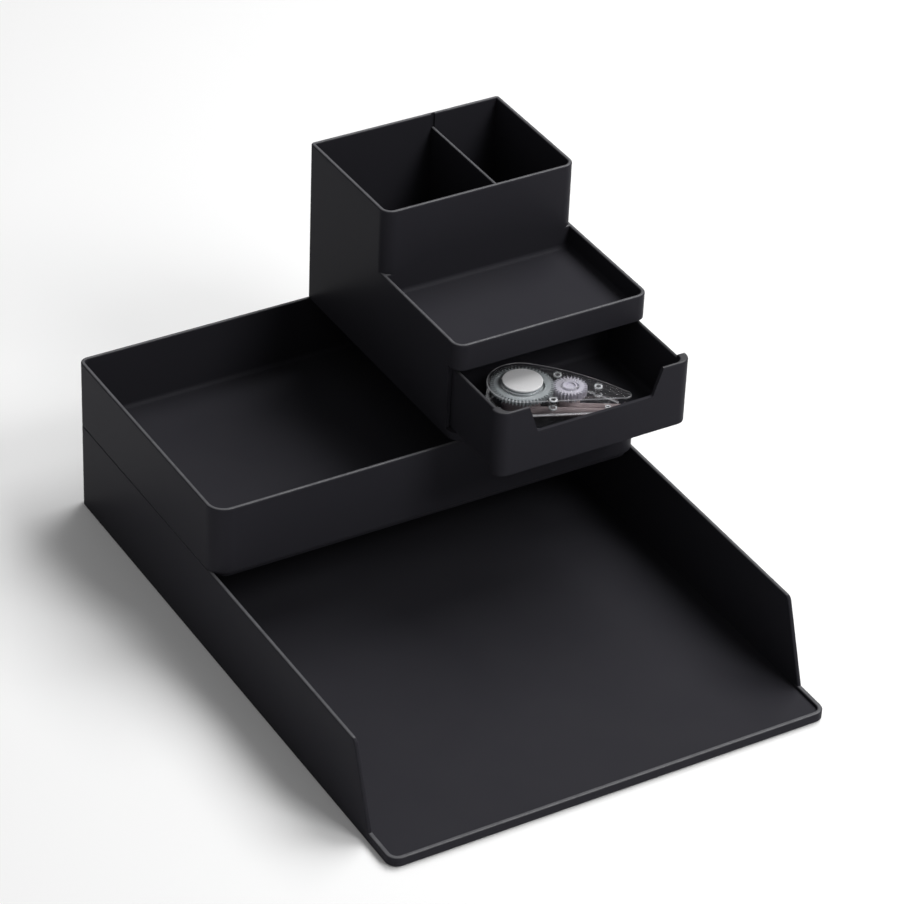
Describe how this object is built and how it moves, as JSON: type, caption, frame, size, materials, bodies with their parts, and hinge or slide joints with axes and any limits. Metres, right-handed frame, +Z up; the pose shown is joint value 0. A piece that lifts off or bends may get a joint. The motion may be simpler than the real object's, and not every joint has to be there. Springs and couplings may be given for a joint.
{
  "type": "desk organizer",
  "caption": "Stacking desk organizer: letter tray, half-depth tray, and a tower with pen cup, clip tray and a small pull-out drawer that holds a clear geared tape runner.",
  "frame": {"origin": "centre of the footprint on the desk, at the underside of the feet", "axes": "+Z up, -Y towards the open front of the letter tray, +X to the right seen from the front, where the tower stands"},
  "size_m": [0.25, 0.34, 0.186],
  "materials": {
    "black_plastic": "satin black injection-moulded polystyrene",
    "foot_rubber": "matt",
    "clear_plastic": "clear polystyrene",
    "milky_plastic": "translucent milky white",
    "glue_tape": "release film",
    "white_disc": "satin white, blank"
  },
  "bodies": {
    "letter_tray": {"letter_tray": "black_plastic", "letter_tray_feet": "foot_rubber"},
    "upper_tray": {"upper_tray": "black_plastic"},
    "tower": {"tower_body": "black_plastic"},
    "divider": {"pen_divider": "black_plastic"},
    "drawer": {"drawer": "black_plastic"},
    "runner": {"runner_base_shell": "clear_plastic", "runner_cover_shell": "clear_plastic", "transfer_tape": "glue_tape"},
    "supply_reel": {"supply_gear": "milky_plastic", "supply_tape_roll": "glue_tape", "runner_label_disc": "white_disc"},
    "takeup_reel": {"takeup_gear": "milky_plastic", "takeup_tape_roll": "glue_tape"},
    "guide_roller": {"guide_roller": "milky_plastic"},
    "tip_roller": {"tip_roller": "milky_plastic"}
  },
  "joints": [
    {"name": "upper_tray_lift", "type": "slide", "parent": "letter_tray", "child": "upper_tray", "axis": [0, 0, 1], "range_m": [0, 0.03]},
    {"name": "tower_lift", "type": "slide", "parent": "upper_tray", "child": "tower", "axis": [0, 0, 1], "range_m": [0, 0.03]},
    {"name": "divider_lift", "type": "slide", "parent": "tower", "child": "divider", "axis": [0, 0, 1], "range_m": [0, 0.06]},
    {"name": "drawer_slide", "type": "slide", "parent": "tower", "child": "drawer", "axis": [0, -1, 0], "range_m": [-0.043, 0.012]},
    {"name": "runner_lift", "type": "slide", "parent": "drawer", "child": "runner", "axis": [0, 0, 1], "range_m": [0, 0.014]},
    {"name": "supply_gear_spin", "type": "hinge", "parent": "runner", "child": "supply_reel", "pos_m": [0.052, 0.0155, 0.105], "axis": [0, 0, 1], "continuous": true},
    {"name": "takeup_gear_spin", "type": "hinge", "parent": "runner", "child": "takeup_reel", "pos_m": [0.07304, 0.00335, 0.105], "axis": [0, 0, 1], "continuous": true},
    {"name": "guide_roller_spin", "type": "hinge", "parent": "runner", "child": "guide_roller", "pos_m": [0.08561, -0.01384, 0.105], "axis": [0, 0, 1], "continuous": true},
    {"name": "tip_roller_spin", "type": "hinge", "parent": "runner", "child": "tip_roller", "pos_m": [0.0932, -0.01755, 0.105], "axis": [0, 0, 1], "continuous": true}
  ],
  "couplings": [
    {"joint": "takeup_gear_spin", "follows": "supply_gear_spin", "ratio": -1.8929},
    {"joint": "guide_roller_spin", "follows": "supply_gear_spin", "ratio": 6.6667},
    {"joint": "tip_roller_spin", "follows": "supply_gear_spin", "ratio": 6.6667}
  ]
}
